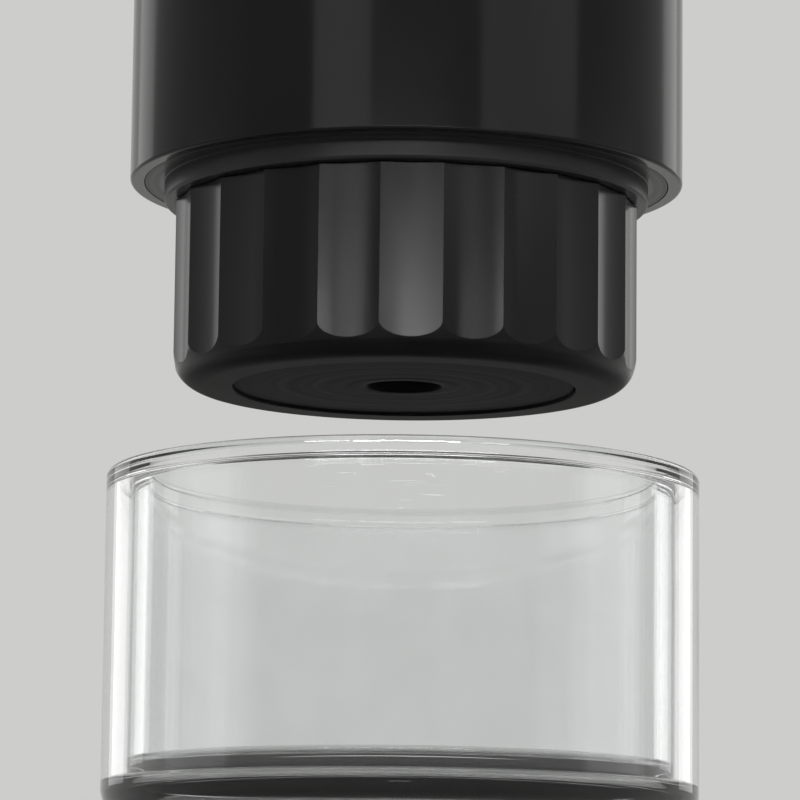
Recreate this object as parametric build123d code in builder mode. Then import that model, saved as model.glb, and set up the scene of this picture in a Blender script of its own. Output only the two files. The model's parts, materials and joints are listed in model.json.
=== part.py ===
"""Portable espresso maker with its clear double-walled cup, in millimetres, +Z up.

The origin lies on the axis, at the middle of the hand grip. The front, with the power
button, faces -Y. The maker is held up by its grip, and the cup stands free below it.

Three battery cells round the pump set the body's radius. The pump and the cell holders
set how high the tank's floor, the button and the charging port are.
"""
import os
from math import asin, cos, degrees, pi, radians, sin

from build123d import *

# Clearances
seam_gap = 0.3
press_gap = 0.1
seat_gap = 0.05
running_gap = 0.05
thread_gap = 0.9
slide_gap = 0.2
nozzle_gap = 1.0

# Body shell, the hand grip
shell_length = 170.0
shell_wall = 1.8
shell_round = 0.4

# Battery cells
cell_names = ("cell_rear", "cell_left", "cell_right")
cell_radius = 9.2
cell_length = 65.0
cell_gap = 0.9
cell_edge = 0.8
cell_cap_radius = 3.8
cell_cap_height = 0.7
cell_groove = 0.4
crimp_drop = 4.0
crimp_height = 1.0
tab_thickness = 0.3

# Cell holders
holder_gap = 0.2
holder_plate = 2.4
pocket_depth = 2.6
pocket_gap = 0.15

# Tie rods and screws
rod_radius = 1.45
rod_edge = 3.0
rod_side_angle = 30.0
rod_front_angle = 51.0
rod_head_radius = 2.6
rod_head_height = 1.8
rod_sink = 3.0
screw_count = 3
screw_radius = 1.2
screw_inset = 2.8
screw_length = 9.0
screw_head_radius = 2.3
screw_head_height = 1.6

# Pump
pump_drop = 7.0
yoke_radius = 13.4
yoke_wall = 1.0
yoke_plate = 1.5
yoke_window = 14.0
coil_height = 32.0
winding_drop = 0.4
bobbin_flange = 1.2
bobbin_wall = 0.9
guide_bore = 5.0
guide_wall = 1.0
plunger_stroke = 4.0
piston_radius = 2.45
piston_length = 18.0
spring_solid = 9.5
spring_wall = 1.3
washer_thickness = 2.4
pump_cap_radius = 9.0
pump_cap_thickness = 2.0
pump_boss_radius = 6.0
pump_boss_height = 8.0
inlet_nozzle_length = 4.5
spigot_length = 9.5
chamber_depth = 2.0
seat_bore = 1.2
seat_thickness = 1.6
poppet_radius = 2.4
poppet_height = 2.2
poppet_travel = 1.0
valve_bore = 3.0
valve_spring_radius = 2.0
valve_spring_wall = 0.8
valve_spring_solid = 5.0
outlet_plate = 2.6
outlet_nozzle_length = 7.0
mount_lip = 1.5
mount_lip_height = 1.0
mount_wall = 2.9
mount_gap = 1.8

# Hoses and their nozzles
nozzle_radius = 2.2
nozzle_bore = 1.2
hose_wall = 1.6
flange_radius = 4.2
flange_thickness = 1.2
tank_nozzle_length = 7.0

# Neck that the lid screws onto
neck_inset = 3.5
neck_wall = 3.6
neck_depth = 6.0

# Lid
lid_roof = 2.2
lid_round = 2.0
lid_dish_inset = 6.5
lid_dish_depth = 0.4
lid_lead = 9.0
lid_run_in = 1.0
insert_thickness = 1.4
insert_inset = 0.8
pivot_radius = 3.0
pivot_height = 1.0
lid_seal_thickness = 1.8
lid_seal_inset = 1.0
lid_seal_width = 3.2

# Water tank
tank_wall = 0.8
tank_corner = 5.0
tank_drain_radius = 1.4
wrap_thickness = 3.0
wrap_rise = 3.5
wrap_drop = 0.5

# Heater under the tank
heater_inset = 1.5
heater_thickness = 3.0
heater_eye_gap = 0.6
element_inset = 7.0
element_radius = 2.7
element_arc = 300.0
element_sink = 0.3
pin_inset_angle = 2.0
pin_radius = 0.9
pin_length = 4.0
sensor_gap = 1.6
thermostat_radius = 4.2
thermostat_angle = 200.0
thermostat_height = 4.6
thermistor_radius = 1.8
thermistor_angle = 20.0
thermistor_height = 4.0

# Main board, with each part's width, height and thickness, then its place from the middle
board_width = 34.0
board_thickness = 1.6
board_parts = {
    "charger": (7.0, 7.0, 1.2, -10.0, 8.0),
    "controller": (6.0, 5.0, 1.5, 10.0, 10.0),
    "inductor": (6.5, 6.5, 3.0, 9.0, -8.0),
    "transistor": (4.0, 4.0, 1.0, -9.0, -6.0),
    "cell_plug": (12.0, 5.0, 3.4, 0.0, -20.0),
    "left_lamp": (3.0, 1.6, 0.8, -9.5, 22.0),
    "right_lamp": (3.0, 1.6, 0.8, 9.5, 22.0),
}

# Power button on the front
button_drop = 13.0
button_radius = 6.0
button_travel = 0.6
button_flush = 0.2
button_lip = 1.0
button_lip_height = 0.85
bezel_depth = 4.1
bezel_width = 1.4
bezel_lip = 1.1
bezel_lip_height = 1.0
switch_size = 6.2
switch_height = 2.0
switch_rise = 0.7
switch_plunger_radius = 1.6

# Charging port at the back
port_drop = 10.0
port_width = 17.0
port_tall = 10.0
port_flange = 1.0
port_flange_reach = 2.0
cover_thickness = 1.2
hinge_gap = 0.37
plug_width = 9.6
plug_tall = 4.2
socket_width = 8.94
socket_tall = 3.26
socket_depth = 7.35
socket_wall = 0.35
socket_inset = 1.1
tongue_tall = 0.7
charge_board_width = 16.0
charge_board_length = 13.0
charge_board_thickness = 1.2
ledge_length = 6.0

# Brew head at the lower end
group_thickness = 6.0
group_pocket = 3.0
group_rib = 1.6
group_seal_width = 3.4
group_seal_thickness = 2.4
band_inset = 4.4
band_height = 2.6
band_chamfer = 0.3
collar_gap = 0.5
screen_rings = (6, 12)
screen_wall = 0.6
screen_height = 1.3
screen_hole = 0.9

# Portafilter
flute_count = 24
flute_depth = 0.3
grip_inset = 5.8
grip_height = 23.6
grip_round = 4.1
grip_shoulder = 2.7
grip_neck_wall = 1.6
grip_floor = 3.2
rim_ring_width = 3.65
disc_recess = 0.4
disc_flange = 2.4
portafilter_lead = 9.5
portafilter_run_in = 0.9
outlet_radius = 4.75
funnel_rise = 2.6

# Filter basket
basket_rings = (6, 12, 18)
basket_rim = 0.8
basket_wall = 0.6
basket_depth = 21.4
basket_gap = 0.8
basket_taper = 2.6
basket_hole = 0.8

# Cup, which slides over the collar's band as the lower cap
pour_gap = 11.2
cup_height = 43.3
cup_fit = 1.3
cup_inner_wall = 2.1
cup_space = 1.6
cup_outer_wall = 1.6
cup_rim_height = 2.2
cup_rim_round = 0.8
cup_base = 2.7
cup_base_round = 3.0
cup_base_gap = 0.8
cup_floor = 2.0
cup_foot_width = 5.0
cup_foot_recess = 0.8
cup_foot_inset = 3.0
gate_radius = 1.5

# Radii worked out from the sizes above, from the pump outwards
guide_radius = guide_bore + guide_wall
bobbin_bore = guide_radius + press_gap
bobbin_radius = yoke_radius - yoke_wall - slide_gap
coil_radius = bobbin_radius - winding_drop
armature_radius = guide_bore - 2 * running_gap
piston_bore = piston_radius + running_gap
hose_bore = nozzle_radius + running_gap
hose_radius = hose_bore + hose_wall
pocket_radius = cell_radius + pocket_gap
cell_circle = yoke_radius + cell_gap + cell_radius
head_radius = yoke_radius + cell_gap - mount_gap - mount_lip - mount_wall - press_gap
holder_radius = cell_circle + cell_radius + cell_edge
rod_circle = holder_radius - rod_edge
body_bore = holder_radius + holder_gap
body_radius = body_bore + shell_wall
neck_radius = body_radius - neck_inset
tank_radius = neck_radius - neck_wall - press_gap
tank_bore = tank_radius - tank_wall
heater_radius = tank_bore - heater_inset
heater_eye = flange_radius + heater_eye_gap
element_circle = heater_radius - element_inset
sensor_circle = element_circle - element_radius - sensor_gap - thermostat_radius
lid_bore = neck_radius + thread_gap
lid_dish_radius = body_radius - lid_dish_inset
lid_seal_outer = neck_radius - lid_seal_inset
lid_seal_inner = lid_seal_outer - lid_seal_width
insert_radius = neck_radius - insert_inset
button_bore = button_radius + slide_gap
bezel_radius = button_bore + bezel_width
bezel_back = body_radius - bezel_depth
plunger_front = bezel_back - seat_gap - button_lip_height - button_travel
switch_front = plunger_front - switch_rise
board_front = switch_front - switch_height
cover_outer = body_radius - press_gap
cover_inner = cover_outer - cover_thickness
cover_middle = (cover_outer + cover_inner) / 2
cover_angle = degrees(asin((port_width / 2 - hinge_gap - cover_thickness / 2) / cover_middle))
frame_front = cover_inner - press_gap
frame_back = body_bore - press_gap - port_flange
socket_mouth = frame_front - socket_inset
band_radius = body_radius - band_inset
grip_radius = body_radius - grip_inset
grip_neck_radius = grip_radius - grip_shoulder
grip_bore = grip_neck_radius - grip_neck_wall
collar_bore = grip_neck_radius + collar_gap
screw_circle = collar_bore + screw_inset
group_seal_inner = grip_neck_radius - group_seal_width
screen_radius = group_seal_inner - seam_gap
screen_pitch = screen_radius / (len(screen_rings) + 2)
basket_radius = grip_bore - basket_gap
basket_foot_radius = basket_radius - basket_taper
basket_pitch = basket_foot_radius / (len(basket_rings) + 2)
underside_radius = grip_radius - grip_round
disc_radius = underside_radius - rim_ring_width
cup_bore = band_radius + cup_fit
cup_liner_radius = cup_bore + cup_inner_wall
cup_radius = cup_liner_radius + cup_space + cup_outer_wall
cup_foot_inner = cup_radius - cup_foot_inset - cup_foot_width

# Heights of the cells, the pump and the tank's floor
cell_top = cell_length / 2
cell_bottom = -cell_length / 2
holder_top_low = cell_top + press_gap - pocket_depth
holder_top_high = holder_top_low + pocket_depth + holder_plate
holder_low_high = cell_bottom - press_gap + pocket_depth
holder_low_low = holder_low_high - pocket_depth - holder_plate
button_height = holder_top_high - button_drop
port_height = holder_low_low - port_drop
pump_top = cell_top - pump_drop
inlet_boss_top = pump_top + pump_cap_thickness + pump_boss_height
inlet_nozzle_top = inlet_boss_top + inlet_nozzle_length
coil_top = pump_top - yoke_plate
coil_bottom = coil_top - coil_height
armature_top = pump_top - plunger_stroke - spring_solid
armature_bottom = coil_bottom
washer_top = armature_bottom - seat_gap
washer_bottom = washer_top - washer_thickness
head_top = washer_bottom - spigot_length
piston_end = armature_bottom - piston_length
valve_seat_top = piston_end - chamber_depth
valve_seat_low = valve_seat_top - seat_thickness
poppet_top = valve_seat_low - seat_gap
poppet_bottom = poppet_top - poppet_height
head_bottom = poppet_bottom - poppet_travel - valve_spring_solid
outlet_low = head_bottom - outlet_plate
tank_under = inlet_nozzle_top + nozzle_gap + tank_nozzle_length + flange_thickness
tank_floor = tank_under + tank_wall
heater_under = tank_under - heater_thickness

# Heights of the shell's upper end and the lid
shell_top = shell_length / 2
neck_bottom = shell_top - neck_depth
neck_top = shell_top + lid_lead - lid_run_in
tank_top = neck_top + tank_wall
lid_bottom = shell_top + seam_gap
lid_seal_bottom = tank_top + seat_gap
lid_seal_top = lid_seal_bottom + lid_seal_thickness
insert_top = lid_seal_top + insert_thickness
lid_ceiling = insert_top + seat_gap
lid_top = lid_ceiling + lid_roof

# Heights of the shell's lower end, the portafilter and the cup
shell_bottom = -shell_length / 2
band_bottom = shell_bottom - band_height
grip_top = band_bottom - slide_gap
grip_bottom = grip_top - grip_height
grip_floor_top = grip_bottom + grip_floor
grip_neck_top = grip_top + portafilter_lead - portafilter_run_in
disc_under = grip_bottom + disc_recess
disc_top = grip_floor_top + disc_flange
basket_top = grip_neck_top + basket_rim
basket_floor = grip_neck_top - basket_depth
group_low = basket_top + seat_gap + group_seal_thickness
group_high = group_low + group_thickness
cup_rim = grip_bottom - pour_gap
cup_bottom = cup_rim - cup_height
cup_base_top = cup_bottom + cup_base
cup_floor_low = cup_base_top + cup_base_gap
cup_floor_top = cup_floor_low + cup_floor

# Angles about the axis
cell_angles = [90 + 360 * index / len(cell_names) for index in range(len(cell_names))]
screw_angles = [360 * index / screw_count for index in range(screw_count)]
rod_angles = (rod_side_angle, 180 - rod_side_angle, 180 + rod_front_angle, 360 - rod_front_angle)
ridge_angles = [360 * (index + 0.5) / flute_count for index in range(flute_count)]


def turned(*corners, mode=Mode.ADD, arc=360):
    """Revolve a closed outline about Z. A corner is (radius, height) or (radius, height, fillet)."""
    points = [corner[:2] for corner in corners]
    fillets = [corner[2] if len(corner) > 2 else 0 for corner in corners]
    with BuildSketch(Plane.XZ) as section:
        with BuildLine():
            FilletPolyline(*points, radius=fillets, close=True)
        make_face()
    revolve(section.sketch, axis=Axis.Z, revolution_arc=arc, mode=mode)


def band(inner, outer, bottom, top, mode=Mode.ADD):
    """Revolve a plain rectangular section about Z."""
    turned((inner, bottom), (outer, bottom), (outer, top), (inner, top), mode=mode)


def holes(radius, circle, angles, bottom, top, mode=Mode.SUBTRACT):
    """Cut, or with another mode stand, round posts at the given angles on a circle about Z."""
    with BuildSketch(Plane.XY.offset(bottom)) as spots:
        for angle in angles:
            with Locations((circle * cos(radians(angle)), circle * sin(radians(angle)))):
                Circle(radius)
    extrude(spots.sketch, amount=top - bottom, mode=mode)


def rings_of_holes(radius, pitch, counts, bottom, top):
    """Cut concentric rings of round holes, pitch apart, with the given count in each ring."""
    with BuildSketch(Plane.XY.offset(bottom)) as spots:
        for ring, count in enumerate(counts, start=1):
            with PolarLocations(ring * pitch, count):
                Circle(radius)
    extrude(spots.sketch, amount=top - bottom, mode=Mode.SUBTRACT)


def back_strip(inner, outer, half_width, bottom, top, mode=Mode.ADD):
    """Stand a strip of a tube's wall at the back, as wide as the charging port needs."""
    with BuildSketch(Plane.XY.offset(bottom)) as strip:
        Circle(outer)
        Circle(inner, mode=Mode.SUBTRACT)
        with Locations((0, outer)):
            Rectangle(2 * half_width, outer, mode=Mode.INTERSECT)
    extrude(strip.sketch, amount=top - bottom, mode=mode)


def front_rod(radius, back, front, height, mode=Mode.ADD):
    """Stand a round bar that points to the front, between two distances from the axis."""
    with BuildSketch(Plane.XZ.offset(back)) as section:
        with Locations((0, height)):
            Circle(radius)
    extrude(section.sketch, amount=front - back, mode=mode)


def block(size, centre, mode=Mode.ADD):
    """Stand a box of the given size about a centre."""
    with Locations(centre):
        Box(*size, mode=mode)


# Body shell: a tube with a round hole for the button and a window for the charging port
with BuildPart() as body_shell:
    turned(
        (body_bore, shell_bottom),
        (body_radius, shell_bottom, shell_round),
        (body_radius, shell_top, shell_round),
        (body_bore, shell_top),
    )
    front_rod(bezel_radius + press_gap, body_bore / 2, body_radius + shell_wall, button_height,
              mode=Mode.SUBTRACT)
    block((port_width, body_radius, port_tall), (0, body_radius, port_height), mode=Mode.SUBTRACT)

# Neck ring: closes the gap between tank and shell, and carries the lid's thread
with BuildPart() as neck_ring:
    turned(
        (tank_radius + press_gap, neck_bottom),
        (body_bore - press_gap, neck_bottom),
        (body_bore - press_gap, shell_top),
        (neck_radius, shell_top),
        (neck_radius, neck_top),
        (tank_radius + press_gap, neck_top),
    )

# Water tank: a deep-drawn steel cup that hangs by its rolled lip
with BuildPart() as water_tank:
    turned(
        (0, tank_under),
        (tank_radius, tank_under, tank_corner + tank_wall),
        (tank_radius, neck_top),
        (lid_seal_outer, neck_top),
        (lid_seal_outer, tank_top),
        (tank_bore, tank_top),
        (tank_bore, tank_floor, tank_corner),
        (0, tank_floor),
    )
    Hole(tank_drain_radius)

with BuildPart() as tank_wrap:
    band(tank_radius + press_gap, tank_radius + press_gap + wrap_thickness,
         tank_floor + wrap_rise, neck_bottom - wrap_drop)

# Heater: a plate against the tank's floor, with a tubular element below it
with BuildPart() as heater_plate:
    band(heater_eye, heater_radius, heater_under, tank_under)

with BuildPart() as heater_element:
    with BuildSketch(Plane.XZ) as tube_section:
        with Locations((element_circle, heater_under - element_radius + element_sink)):
            Circle(element_radius)
        with Locations((element_circle, heater_under + element_radius)):
            Rectangle(4 * element_radius, 2 * element_radius, mode=Mode.SUBTRACT)
    revolve(tube_section.sketch, axis=Axis.Z, revolution_arc=element_arc)
    holes(pin_radius, element_circle, (pin_inset_angle, element_arc - pin_inset_angle),
          heater_under - 2 * element_radius - pin_length, heater_under - element_radius,
          mode=Mode.ADD)

with BuildPart() as thermostat:
    holes(thermostat_radius, sensor_circle, (thermostat_angle,),
          heater_under - thermostat_height, heater_under, mode=Mode.ADD)

with BuildPart() as thermistor:
    holes(thermistor_radius, sensor_circle, (thermistor_angle,),
          heater_under - thermistor_height, heater_under, mode=Mode.ADD)

# Tank outlet: a flanged nozzle below the tank's floor
with BuildPart() as tank_outlet:
    turned(
        (nozzle_bore, tank_under),
        (flange_radius, tank_under),
        (flange_radius, tank_under - flange_thickness),
        (nozzle_radius, tank_under - flange_thickness),
        (nozzle_radius, tank_under - flange_thickness - tank_nozzle_length),
        (nozzle_bore, tank_under - flange_thickness - tank_nozzle_length),
    )

with BuildPart() as inlet_hose:
    band(hose_bore, hose_radius, inlet_boss_top + seat_gap, tank_under - flange_thickness - seat_gap)

# Battery cells: one at the back and one at each side of the front
cells = {}
for cell_name, cell_angle in zip(cell_names, cell_angles):
    cell_x = cell_circle * cos(radians(cell_angle))
    cell_y = cell_circle * sin(radians(cell_angle))
    with BuildPart(Plane.XY.offset(cell_bottom)) as cell:
        with Locations((cell_x, cell_y)):
            Cylinder(cell_radius, cell_length - cell_cap_height,
                     align=(Align.CENTER, Align.CENTER, Align.MIN))
        with Locations((cell_x, cell_y, cell_length - cell_cap_height)):
            Cylinder(cell_cap_radius, cell_cap_height, align=(Align.CENTER, Align.CENTER, Align.MIN))
        with BuildSketch(Plane.XY.offset(cell_top - crimp_drop)) as crimp:
            with Locations((cell_x, cell_y)):
                Circle(cell_radius)
                Circle(cell_radius - cell_groove, mode=Mode.SUBTRACT)
        extrude(crimp.sketch, amount=crimp_height, mode=Mode.SUBTRACT)
    cells[cell_name] = cell


def holder(bottom, top, pocket_low, pocket_high, hub_radius):
    """Mould one cell holder: a disc with three pockets, a hub hole, rod holes and a board notch."""
    band(hub_radius, holder_radius, bottom, top)
    holes(pocket_radius, cell_circle, cell_angles, pocket_low, pocket_high)
    holes(rod_radius + seat_gap, rod_circle, rod_angles, bottom, top)
    notch_depth = holder_radius - board_front + board_thickness + slide_gap
    block((board_width + 2 * slide_gap, notch_depth, 3 * (top - bottom)),
          (0, -holder_radius + notch_depth / 2, (bottom + top) / 2), mode=Mode.SUBTRACT)


with BuildPart() as cell_holder_top:
    holder(holder_top_low, holder_top_high, holder_top_low, cell_top + press_gap,
           pump_boss_radius + mount_wall + 2 * press_gap)
    holes(cell_cap_radius, cell_circle, cell_angles, cell_top, holder_top_high)

with BuildPart() as cell_holder_bottom:
    holder(holder_low_low, holder_low_high, cell_bottom - press_gap, holder_low_high,
           head_radius + mount_wall + 2 * press_gap)
    holes(cell_cap_radius, cell_circle, cell_angles, holder_low_low, cell_bottom)

# Contact tabs, one across each end of each cell, in the holders' round windows
with BuildPart() as cell_tabs:
    holes(cell_cap_radius - press_gap, cell_circle, cell_angles,
          cell_top, cell_top + tab_thickness, mode=Mode.ADD)
    holes(cell_cap_radius - press_gap, cell_circle, cell_angles,
          cell_bottom - tab_thickness, cell_bottom, mode=Mode.ADD)

# Tie rods: four long screws that clamp the holders above the group plate
with BuildPart() as tie_rods:
    holes(rod_radius, rod_circle, rod_angles, group_high - rod_sink, holder_top_high, mode=Mode.ADD)
    holes(rod_head_radius, rod_circle, rod_angles, holder_top_high,
          holder_top_high + rod_head_height, mode=Mode.ADD)

# Electromagnetic pump: a coil in a steel yoke lifts the plunger, and its spring drives it down
with BuildPart() as pump_inlet:
    turned(
        (nozzle_bore, pump_top),
        (pump_cap_radius, pump_top),
        (pump_cap_radius, pump_top + pump_cap_thickness),
        (pump_boss_radius, pump_top + pump_cap_thickness),
        (pump_boss_radius, inlet_boss_top),
        (nozzle_radius, inlet_boss_top),
        (nozzle_radius, inlet_nozzle_top),
        (nozzle_bore, inlet_nozzle_top),
    )

with BuildPart() as pump_guide_tube:
    band(guide_bore, guide_radius, head_top, pump_top)

with BuildPart() as coil_bobbin:
    turned(
        (bobbin_bore, coil_bottom),
        (bobbin_radius, coil_bottom),
        (bobbin_radius, coil_bottom + bobbin_flange),
        (bobbin_bore + bobbin_wall, coil_bottom + bobbin_flange),
        (bobbin_bore + bobbin_wall, coil_top - bobbin_flange),
        (bobbin_radius, coil_top - bobbin_flange),
        (bobbin_radius, coil_top),
        (bobbin_bore, coil_top),
    )

with BuildPart() as coil_winding:
    band(bobbin_bore + bobbin_wall, coil_radius, coil_bottom + bobbin_flange, coil_top - bobbin_flange)

with BuildPart() as pump_yoke:
    band(bobbin_bore, yoke_radius, coil_bottom - yoke_plate, pump_top)
    band(bobbin_bore, yoke_radius - yoke_wall, coil_bottom, coil_top, mode=Mode.SUBTRACT)
    block((4 * yoke_radius, yoke_window, coil_height - 2 * bobbin_flange),
          (0, 0, (coil_top + coil_bottom) / 2), mode=Mode.SUBTRACT)

with BuildPart() as pump_plunger:
    turned(
        (nozzle_bore, piston_end),
        (piston_radius, piston_end),
        (piston_radius, armature_bottom),
        (armature_radius, armature_bottom),
        (armature_radius, armature_top),
        (nozzle_bore, armature_top),
    )

with BuildPart() as plunger_spring:
    band(armature_radius - spring_wall, armature_radius, armature_top, pump_top)

with BuildPart() as buffer_washer:
    band(piston_bore + press_gap, guide_bore - press_gap, washer_bottom, washer_top)

with BuildPart() as pump_head:
    turned(
        (piston_bore, valve_seat_top),
        (piston_bore, washer_bottom),
        (guide_bore - press_gap, washer_bottom),
        (guide_bore - press_gap, head_top),
        (head_radius, head_top),
        (head_radius, head_bottom),
        (valve_bore, head_bottom),
        (valve_bore, valve_seat_low),
        (seat_bore, valve_seat_low),
        (seat_bore, valve_seat_top),
    )

with BuildPart() as valve_poppet:
    turned(
        (0, poppet_bottom),
        (poppet_radius, poppet_bottom),
        (poppet_radius, poppet_top - poppet_height / 3),
        (poppet_radius - poppet_height / 3, poppet_top),
        (0, poppet_top),
    )

with BuildPart() as valve_spring:
    band(valve_spring_radius - valve_spring_wall, valve_spring_radius, head_bottom, poppet_bottom)

with BuildPart() as pump_outlet:
    turned(
        (nozzle_bore, head_bottom),
        (head_radius, head_bottom),
        (head_radius, outlet_low),
        (nozzle_radius, outlet_low),
        (nozzle_radius, outlet_low - outlet_nozzle_length),
        (nozzle_bore, outlet_low - outlet_nozzle_length),
    )


def grommet(bore, bottom, top):
    """Mould a rubber mount that grips a plate between its two lips."""
    hub = bore + mount_wall
    lip = hub + mount_lip
    turned(
        (bore, bottom - mount_lip_height),
        (lip, bottom - mount_lip_height),
        (lip, bottom),
        (hub, bottom),
        (hub, top),
        (lip, top),
        (lip, top + mount_lip_height),
        (bore, top + mount_lip_height),
    )


with BuildPart() as pump_mount_top:
    grommet(pump_boss_radius + press_gap, holder_top_low, holder_top_high)

with BuildPart() as pump_mount_bottom:
    grommet(head_radius + press_gap, holder_low_low, holder_low_high)

# Main board: stands in the holders' front notches, with its parts on both faces
with BuildPart() as main_board:
    block((board_width, board_thickness, holder_top_high - holder_low_low),
          (0, -board_front + board_thickness / 2, (holder_top_high + holder_low_low) / 2))

with BuildPart() as board_components:
    for part_width, part_height, part_depth, part_x, part_z in board_parts.values():
        block((part_width, part_depth, part_height), (part_x, -board_front - part_depth / 2, part_z))

# Tact switch and its plunger, behind the button
with BuildPart() as tact_switch:
    block((switch_size, switch_height, switch_size),
          (0, -board_front - switch_height / 2, button_height))
    front_rod(switch_plunger_radius + press_gap, board_front + seam_gap, switch_front, button_height,
              mode=Mode.SUBTRACT)

with BuildPart() as switch_plunger:
    front_rod(switch_plunger_radius, board_front + seam_gap + button_travel + seat_gap,
              plunger_front, button_height)

# Light ring around the button, flush with the shell
with BuildPart() as button_light_ring:
    front_rod(bezel_radius, bezel_back, body_radius, button_height)
    front_rod(bezel_radius + bezel_lip, bezel_back, bezel_back + bezel_lip_height, button_height)
    front_rod(button_bore, bezel_back, body_radius, button_height, mode=Mode.SUBTRACT)
    with BuildSketch(Plane.XY.offset(shell_bottom)) as flush_disc:
        Circle(body_radius - press_gap)
    extrude(flush_disc.sketch, amount=shell_length, mode=Mode.INTERSECT)

with BuildPart() as power_button:
    front_rod(button_radius, bezel_back - seat_gap, body_radius, button_height)
    front_rod(button_radius + button_lip, bezel_back - seat_gap - button_lip_height,
              bezel_back - seat_gap, button_height)
    front_rod(switch_plunger_radius, plunger_front, bezel_back - seat_gap, button_height)
    with BuildSketch(Plane.XY.offset(shell_bottom)) as cap_disc:
        Circle(body_radius - button_flush)
    extrude(cap_disc.sketch, amount=shell_length, mode=Mode.INTERSECT)

# Charging port: a frame behind the shell's window, with a ledge for the charging board
board_under = port_height - socket_tall / 2 - charge_board_thickness
with BuildPart() as port_frame:
    back_strip(frame_back, frame_back + port_flange, port_width / 2 + port_flange_reach,
               port_height - port_tall / 2 - port_flange_reach,
               port_height + port_tall / 2 + port_flange_reach)
    back_strip(frame_back, frame_front, port_width / 2 - press_gap,
               port_height - port_tall / 2 + press_gap, port_height + port_tall / 2 - press_gap)
    back_strip(frame_back - ledge_length, frame_back + seat_gap, charge_board_width / 2,
               board_under - port_flange, board_under)
    with BuildSketch(Plane.XZ.offset(-frame_back + port_flange)) as plug_hole:
        with Locations((0, port_height)):
            SlotOverall(plug_width, plug_tall)
    extrude(plug_hole.sketch, amount=-2 * (frame_front - frame_back + port_flange),
            mode=Mode.SUBTRACT)

with BuildPart() as charging_board:
    block((charge_board_width, charge_board_length, charge_board_thickness),
          (0, frame_back - port_flange - charge_board_length / 2,
           board_under + charge_board_thickness / 2))

with BuildPart() as usb_socket:
    with BuildSketch(Plane.XZ.offset(-socket_mouth)) as can:
        with Locations((0, port_height)):
            SlotOverall(socket_width, socket_tall)
    extrude(can.sketch, amount=socket_depth)
    with BuildSketch(Plane.XZ.offset(-socket_mouth)) as can_mouth:
        with Locations((0, port_height)):
            SlotOverall(socket_width - 2 * socket_wall, socket_tall - 2 * socket_wall)
            Rectangle(socket_width - socket_tall, tongue_tall, mode=Mode.SUBTRACT)
    extrude(can_mouth.sketch, amount=socket_depth - socket_wall, mode=Mode.SUBTRACT)

# Port cover: a curved silicone flap whose round end is its hinge
cover_low = port_height - port_tall / 2 + seam_gap
cover_arc = CenterArc((0, 0), cover_middle, 90 - cover_angle, 2 * cover_angle, mode=Mode.PRIVATE)
with BuildPart() as port_cover:
    with BuildSketch(Plane.XY.offset(cover_low)) as flap:
        SlotArc(cover_arc, cover_thickness)
    extrude(flap.sketch, amount=port_tall - 2 * seam_gap)

# Brew head: group plate, water inlet, seal, screen and the threaded collar with its visible band
with BuildPart() as group_plate:
    band(nozzle_bore, holder_radius, group_low, group_high)
    band(flange_radius + group_rib, group_seal_inner, group_high - group_pocket, group_high,
         mode=Mode.SUBTRACT)
    with BuildSketch(Plane.XY.offset(group_high - group_pocket)) as ribs:
        with PolarLocations((flange_radius + group_seal_inner) / 2 + group_rib / 2, 6):
            Rectangle(group_seal_inner - flange_radius, group_rib)
    extrude(ribs.sketch, amount=group_pocket)
    holes(rod_radius + seat_gap, rod_circle, rod_angles, group_high - rod_sink, group_high)
    holes(screw_radius + press_gap, screw_circle, screw_angles, group_low, group_high)

with BuildPart() as brew_inlet:
    turned(
        (nozzle_bore, group_high),
        (flange_radius, group_high),
        (flange_radius, group_high + flange_thickness),
        (nozzle_radius, group_high + flange_thickness),
        (nozzle_radius, group_high + flange_thickness + tank_nozzle_length),
        (nozzle_bore, group_high + flange_thickness + tank_nozzle_length),
    )

with BuildPart() as outlet_hose:
    band(hose_bore, hose_radius, group_high + flange_thickness + seat_gap, outlet_low - seat_gap)

with BuildPart() as group_seal:
    band(group_seal_inner, grip_neck_radius, group_low - group_seal_thickness, group_low)

with BuildPart() as shower_screen:
    turned(
        (0, group_low - screen_height),
        (screen_radius, group_low - screen_height, screen_wall),
        (screen_radius, group_low),
        (screen_radius - screen_wall, group_low),
        (screen_radius - screen_wall, group_low - screen_height + screen_wall),
        (0, group_low - screen_height + screen_wall),
    )
    rings_of_holes(screen_hole, screen_pitch, screen_rings, group_low - screen_height,
                   group_low - screen_height + screen_wall)

with BuildPart() as brew_collar:
    turned(
        (collar_bore, band_bottom),
        (band_radius - band_chamfer, band_bottom),
        (band_radius, band_bottom + band_chamfer),
        (band_radius, shell_bottom),
        (body_bore - press_gap, shell_bottom),
        (body_bore - press_gap, group_low),
        (collar_bore, group_low),
    )
    holes(screw_radius + seat_gap, screw_circle, screw_angles,
          group_high - screw_length - seat_gap, group_low)

with BuildPart() as collar_screws:
    holes(screw_radius, screw_circle, screw_angles, group_high - screw_length, group_high,
          mode=Mode.ADD)
    holes(screw_head_radius, screw_circle, screw_angles, group_high,
          group_high + screw_head_height, mode=Mode.ADD)

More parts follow.
